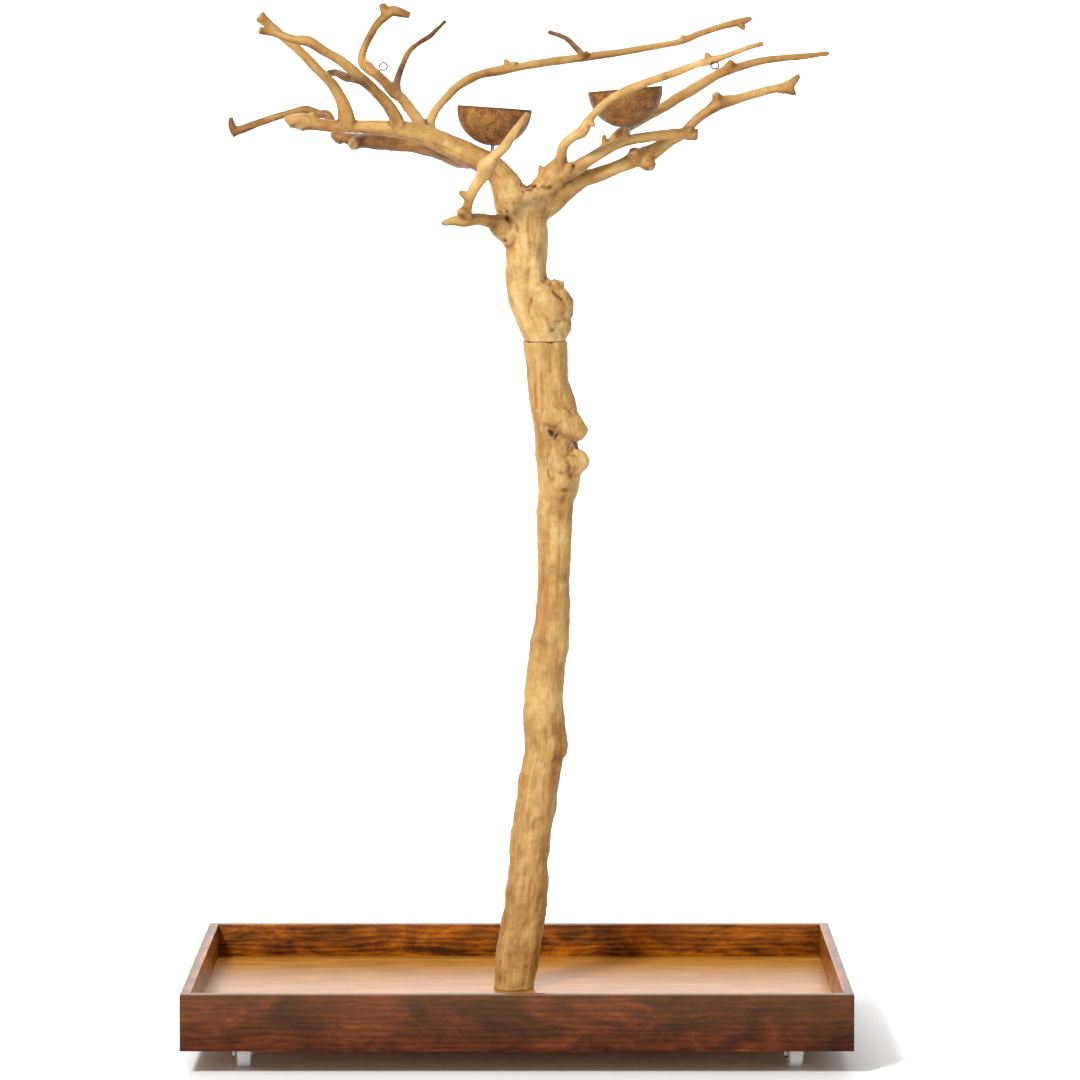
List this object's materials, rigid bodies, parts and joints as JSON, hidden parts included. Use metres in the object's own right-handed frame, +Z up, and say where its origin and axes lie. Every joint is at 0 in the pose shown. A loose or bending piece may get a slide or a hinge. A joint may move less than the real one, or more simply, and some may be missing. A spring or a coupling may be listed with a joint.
{
  "type": "parrot play stand",
  "caption": "Branched natural-wood perch standing in a rectangular wooden tray on swivel casters, with coconut-shell cups and toy eyes in its crown.",
  "frame": {"origin": "on the ground, under the middle of the tray", "axes": "+X to the right along the tray, +Y to the back, +Z up the trunk"},
  "size_m": [0.914, 0.61, 1.4641],
  "materials": {
    "natural_wood": "barked and sanded hardwood under a thin clear coat",
    "stained_rail": "dark brown stain under gloss lacquer",
    "lacquered_floor": "amber gloss lacquer",
    "plain_board": "unfinished board",
    "coconut_shell": "rubbed and oiled shell with fibre marks",
    "white_nylon": "satin moulded nylon",
    "zinc_plate": "bright zinc plated pressing",
    "bright_steel": "bright steel"
  },
  "bodies": {
    "stand": {"arch_twig": "natural_wood", "back_left_caster_plate": "zinc_plate", "back_left_kingpin": "zinc_plate", "back_right_caster_plate": "zinc_plate", "back_right_kingpin": "zinc_plate", "block_screws": "bright_steel", "caster_screws": "bright_steel", "crown_stem": "natural_wood", "crown_stud": "bright_steel", "front_left_caster_plate": "zinc_plate", "front_left_kingpin": "zinc_plate", "front_perch": "natural_wood", "front_right_caster_plate": "zinc_plate", "front_right_kingpin": "zinc_plate", "front_spur": "natural_wood", "left_back_branch": "natural_wood", "left_back_twig": "natural_wood", "left_cup": "coconut_shell", "left_cup_screw": "bright_steel", "left_cup_washer": "bright_steel", "left_low_branch": "natural_wood", "left_main_limb": "natural_wood", "left_mid_branch": "natural_wood", "left_mid_twig": "natural_wood", "left_screw_eye": "bright_steel", "left_tip_branch": "natural_wood", "long_arch_branch": "natural_wood", "lower_trunk": "natural_wood", "mounting_block": "plain_board", "right_back_branch": "natural_wood", "right_cup": "coconut_shell", "right_cup_branch": "natural_wood", "right_cup_screw": "bright_steel", "right_cup_washer": "bright_steel", "right_front_branch": "natural_wood", "right_knuckle": "natural_wood", "right_low_branch": "natural_wood", "right_screw_eye": "bright_steel", "tray_back_rail": "stained_rail", "tray_floor_panel": "lacquered_floor", "tray_front_rail": "stained_rail", "tray_left_rail": "stained_rail", "tray_right_rail": "stained_rail", "trunk_bolt": "bright_steel", "trunk_washer": "bright_steel"},
    "front_left_swivel": {"front_left_fork": "zinc_plate", "front_left_axle": "zinc_plate"},
    "front_left_roller": {"front_left_wheel": "white_nylon"},
    "front_right_swivel": {"front_right_fork": "zinc_plate", "front_right_axle": "zinc_plate"},
    "front_right_roller": {"front_right_wheel": "white_nylon"},
    "back_left_swivel": {"back_left_fork": "zinc_plate", "back_left_axle": "zinc_plate"},
    "back_left_roller": {"back_left_wheel": "white_nylon"},
    "back_right_swivel": {"back_right_fork": "zinc_plate", "back_right_axle": "zinc_plate"},
    "back_right_roller": {"back_right_wheel": "white_nylon"}
  },
  "joints": [
    {"name": "front_left_swivel_turn", "type": "hinge", "parent": "stand", "child": "front_left_swivel", "pos_m": [-0.377, -0.225, 0.05], "axis": [0, 0, 1], "continuous": true},
    {"name": "front_left_wheel_roll", "type": "hinge", "parent": "front_left_swivel", "child": "front_left_roller", "pos_m": [-0.37481, -0.24287, 0.02], "axis": [0.9925, 0.1219, 0], "continuous": true},
    {"name": "front_right_swivel_turn", "type": "hinge", "parent": "stand", "child": "front_right_swivel", "pos_m": [0.377, -0.225, 0.05], "axis": [0, 0, 1], "continuous": true},
    {"name": "front_right_wheel_roll", "type": "hinge", "parent": "front_right_swivel", "child": "front_right_roller", "pos_m": [0.37919, -0.24287, 0.02], "axis": [0.9925, 0.1219, 0], "continuous": true},
    {"name": "back_left_swivel_turn", "type": "hinge", "parent": "stand", "child": "back_left_swivel", "pos_m": [-0.377, 0.225, 0.05], "axis": [0, 0, 1], "continuous": true},
    {"name": "back_left_wheel_roll", "type": "hinge", "parent": "back_left_swivel", "child": "back_left_roller", "pos_m": [-0.37481, 0.20713, 0.02], "axis": [0.9925, 0.1219, 0], "continuous": true},
    {"name": "back_right_swivel_turn", "type": "hinge", "parent": "stand", "child": "back_right_swivel", "pos_m": [0.377, 0.225, 0.05], "axis": [0, 0, 1], "continuous": true},
    {"name": "back_right_wheel_roll", "type": "hinge", "parent": "back_right_swivel", "child": "back_right_roller", "pos_m": [0.37919, 0.20713, 0.02], "axis": [0.9925, 0.1219, 0], "continuous": true}
  ]
}
